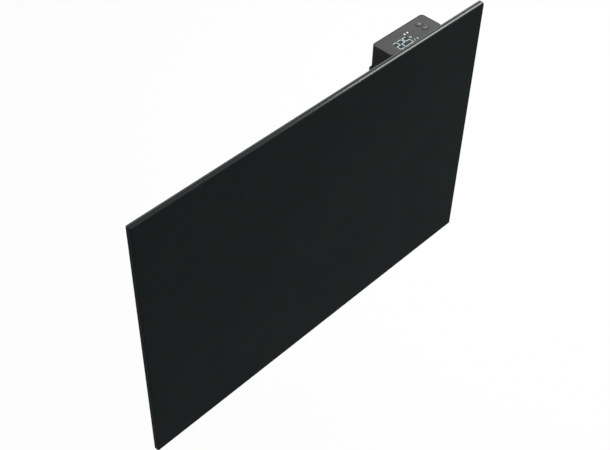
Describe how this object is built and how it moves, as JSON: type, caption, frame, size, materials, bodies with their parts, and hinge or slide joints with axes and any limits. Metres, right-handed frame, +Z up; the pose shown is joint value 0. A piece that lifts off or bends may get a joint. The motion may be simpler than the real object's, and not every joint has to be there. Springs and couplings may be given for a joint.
{
  "type": "panel heater",
  "caption": "Slim wall-hung electric panel heater, satin black, with a small display and two push keys behind its top edge, lifting off a steel wall bracket",
  "frame": {"origin": "centre of the four wall screws, on the wall plane", "axes": "+X to the right seen from the front, +Y into the wall, +Z up"},
  "size_m": [0.584, 0.07, 0.4],
  "materials": {
    "panel_black": "satin black powder coat, very fine texture",
    "casing_black": "matt black powder coat",
    "zinc_steel": "zinc-plated sheet",
    "rivet_steel": "plain rivet steel",
    "screw_black": "black zinc",
    "screw_steel": "bright zinc",
    "bumper_rubber": "soft black rubber",
    "mica_board": "pressed mica sheet",
    "track_steel": "etched resistance foil",
    "terminal_brass": "plain brass",
    "cutout_grey": "moulded grey",
    "insulation_felt": "pressed mineral fibre",
    "plate_silver": "bare satin plate",
    "control_plastic": "fine spark-textured black",
    "fascia_smoke": "satin charcoal plate",
    "digit_light": "lit pale blue-white",
    "sign_light": "dimly lit pale grey",
    "lamp_light": "lit white",
    "key_plastic": "satin charcoal",
    "key_sign": "pale grey inlay",
    "switch_black": "moulded black",
    "circuit_board": "green board lacquer",
    "ribbon_grey": "grey ribbed jacket",
    "standoff_nylon": "natural nylon",
    "supply_grey": "moulded grey",
    "capacitor_can": "sleeved can",
    "gland_nylon": "black nylon",
    "rocker_frame_black": "black moulding",
    "rocker_grey": "polished black moulding",
    "heater_wire": "white silicone jacket",
    "supply_wire": "black jacket",
    "earth_wire": "yellow-green jacket",
    "sensor_wire": "grey jacket"
  },
  "bodies": {
    "wall_bracket": {"left_upright": "zinc_steel", "right_upright": "zinc_steel", "lower_crossbar": "zinc_steel", "upper_crossbar": "zinc_steel", "bracket_rivets": "rivet_steel", "bracket_bumpers": "bumper_rubber"},
    "heater": {"front_panel": "panel_black", "rear_casing": "casing_black", "left_hanger_plate": "zinc_steel", "right_hanger_plate": "zinc_steel", "hanger_rivets": "rivet_steel", "casing_screws": "screw_black", "control_base_screws": "screw_black", "control_cover_screws": "screw_black", "display_board_screws": "screw_steel", "power_board_screws": "screw_steel", "heating_element": "mica_board", "resistance_track": "track_steel", "element_terminals": "terminal_brass", "earth_stud": "terminal_brass", "earth_lug": "terminal_brass", "earth_nuts": "terminal_brass", "rocker_blades": "terminal_brass", "overheat_cutout": "cutout_grey", "insulation_board": "insulation_felt", "rating_plate": "plate_silver", "control_base": "control_plastic", "control_cover": "control_plastic", "control_fascia": "fascia_smoke", "display_digits": "digit_light", "display_signs": "sign_light", "status_lamps": "lamp_light", "key_switches": "switch_black", "digit_module": "switch_black", "ribbon_headers": "switch_black", "relay": "switch_black", "display_board": "circuit_board", "power_board": "circuit_board", "ribbon_lead": "ribbon_grey", "board_standoffs": "standoff_nylon", "lead_clamp": "standoff_nylon", "lead_plug": "standoff_nylon", "terminal_block": "standoff_nylon", "power_supply": "supply_grey", "capacitor": "capacitor_can", "cord_gland": "gland_nylon", "gland_nut": "gland_nylon", "room_sensor": "gland_nylon", "rocker_frame": "rocker_frame_black", "heater_leads": "heater_wire", "supply_leads": "supply_wire", "earth_lead": "earth_wire", "sensor_lead": "sensor_wire"},
    "plus_button": {"plus_key": "key_plastic", "plus_sign": "key_sign"},
    "minus_button": {"minus_key": "key_plastic", "minus_sign": "key_sign"},
    "mains_rocker": {"rocker": "rocker_grey"}
  },
  "joints": [
    {"name": "heater_lift", "type": "slide", "parent": "wall_bracket", "child": "heater", "axis": [0, 0, 1], "range_m": [0, 0.013]},
    {"name": "plus_press", "type": "slide", "parent": "heater", "child": "plus_button", "axis": [0, 0, -1], "range_m": [0, 0.0006], "stiffness_N_per_m": 800},
    {"name": "minus_press", "type": "slide", "parent": "heater", "child": "minus_button", "axis": [0, 0, -1], "range_m": [0, 0.0006], "stiffness_N_per_m": 800},
    {"name": "mains_rocker_tilt", "type": "hinge", "parent": "heater", "child": "mains_rocker", "pos_m": [0.249, -0.05075, -0.024], "axis": [0, 1, 0], "range_deg": [-18, 0]}
  ]
}
